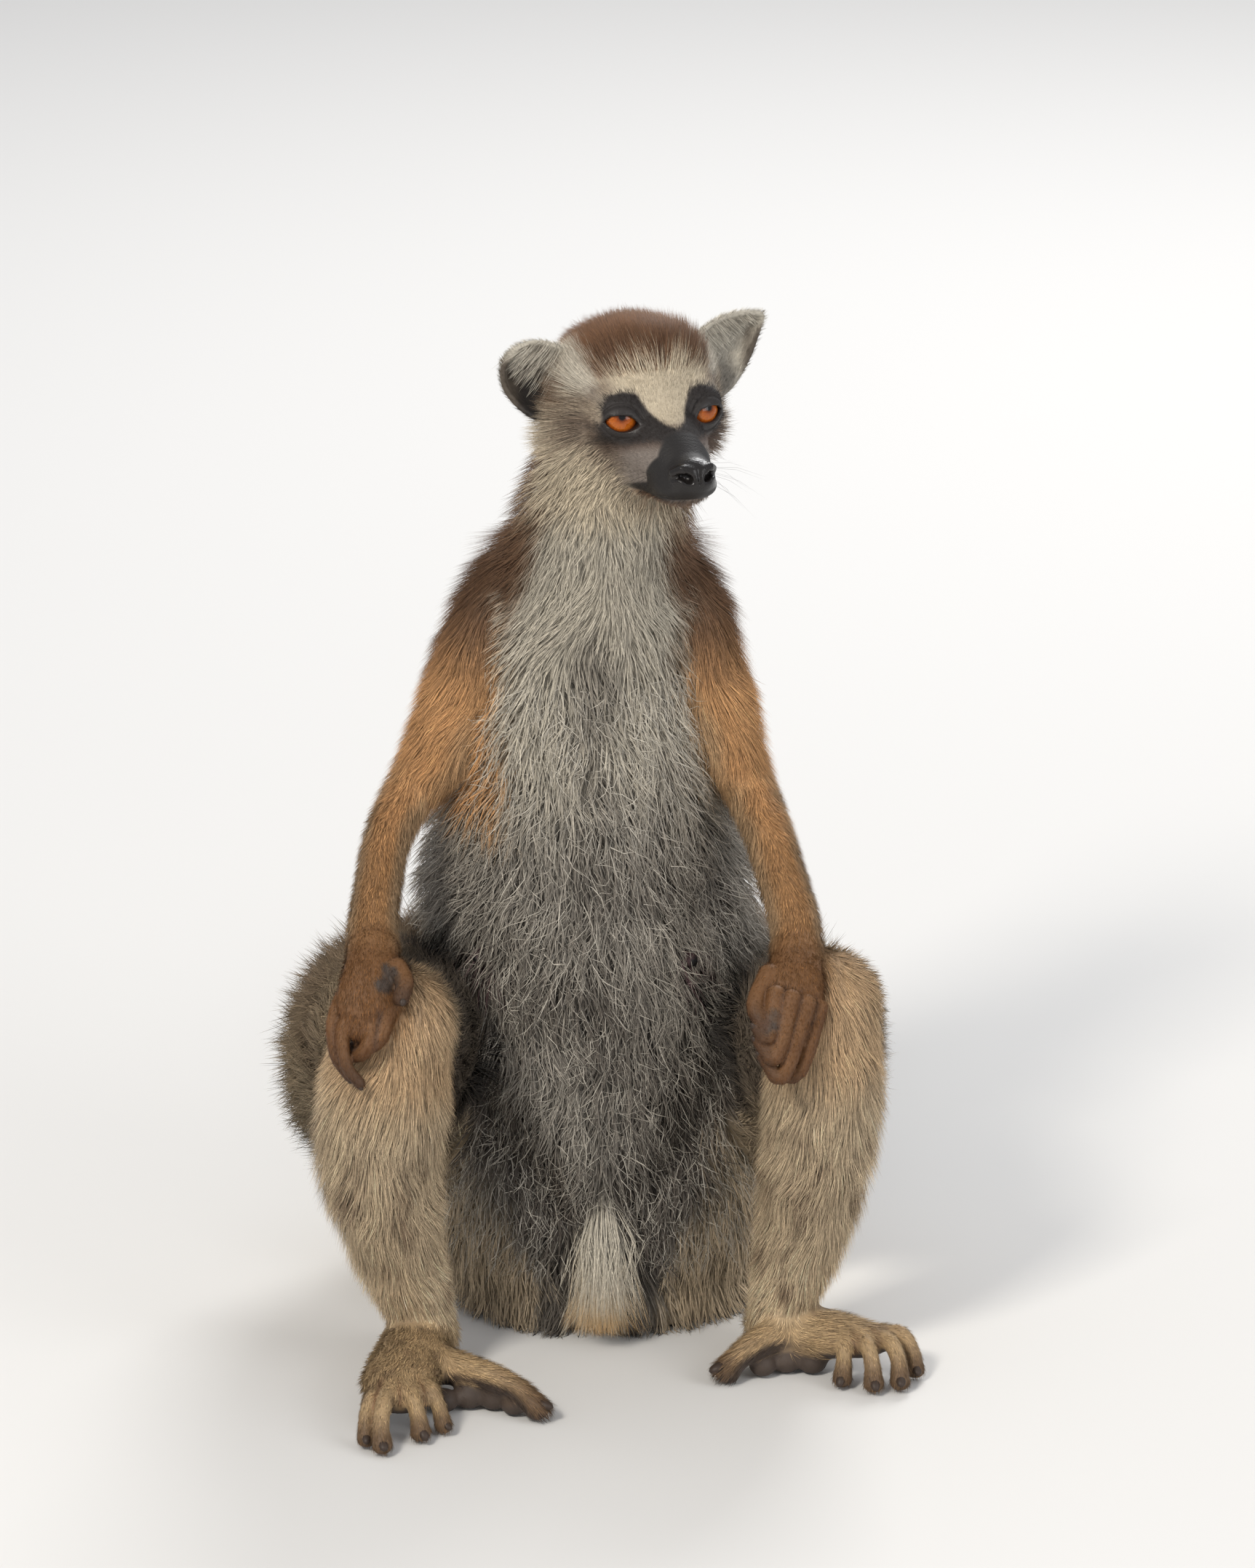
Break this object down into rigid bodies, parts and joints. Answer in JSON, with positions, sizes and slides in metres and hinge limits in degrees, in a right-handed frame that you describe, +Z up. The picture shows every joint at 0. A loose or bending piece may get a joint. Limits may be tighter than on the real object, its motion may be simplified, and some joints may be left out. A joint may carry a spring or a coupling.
{
  "type": "ring-tailed lemur, life-size still model",
  "caption": "Adult ring-tailed lemur sitting upright on its rump, hands hanging over its raised knees, feet flat and ringed tail laid in a bend behind it.",
  "frame": {"origin": "middle of the seat, where the rump rests on the floor", "axes": "+Z up, -Y the way the body faces, +X the animal's left"},
  "size_m": [0.2253, 0.4941, 0.3549],
  "materials": {
    "head_coat": "short dense fur, white brow and cheeks, black eye patches and bare black muzzle tip",
    "ear_coat": "short white fur, dark grey inside the cup",
    "body_coat": "long soft grey fur, paler and curly on the belly",
    "arm_coat": "short tan and rust fur",
    "hand_coat": "short ochre fur over dark bare skin",
    "leg_coat": "cream fur with small dark flecks",
    "tail_coat": "dense fur in black and white rings, black tip",
    "claw": "dark horn, satin",
    "eye": "wet amber iris behind a clear cornea",
    "skin": "bare dark skin of nose, lips, palms and soles"
  },
  "bodies": {
    "root": {"head": "head_coat", "neck": "body_coat", "chest": "body_coat", "abdomen": "body_coat", "ear_left": "ear_coat", "ear_right": "ear_coat", "eye_left": "eye", "eye_right": "eye", "upper_arm_left": "arm_coat", "upper_arm_right": "arm_coat", "forearm_left": "arm_coat", "forearm_right": "arm_coat", "hand_left": "hand_coat", "hand_right": "hand_coat", "thigh_left": "body_coat", "thigh_right": "body_coat", "shank_left": "leg_coat", "shank_right": "leg_coat", "foot_left": "leg_coat", "foot_right": "leg_coat", "tail_1": "tail_coat", "tail_2": "tail_coat", "tail_3": "tail_coat", "tail_4": "tail_coat", "tail_5": "tail_coat"}
  },
  "joints": []
}
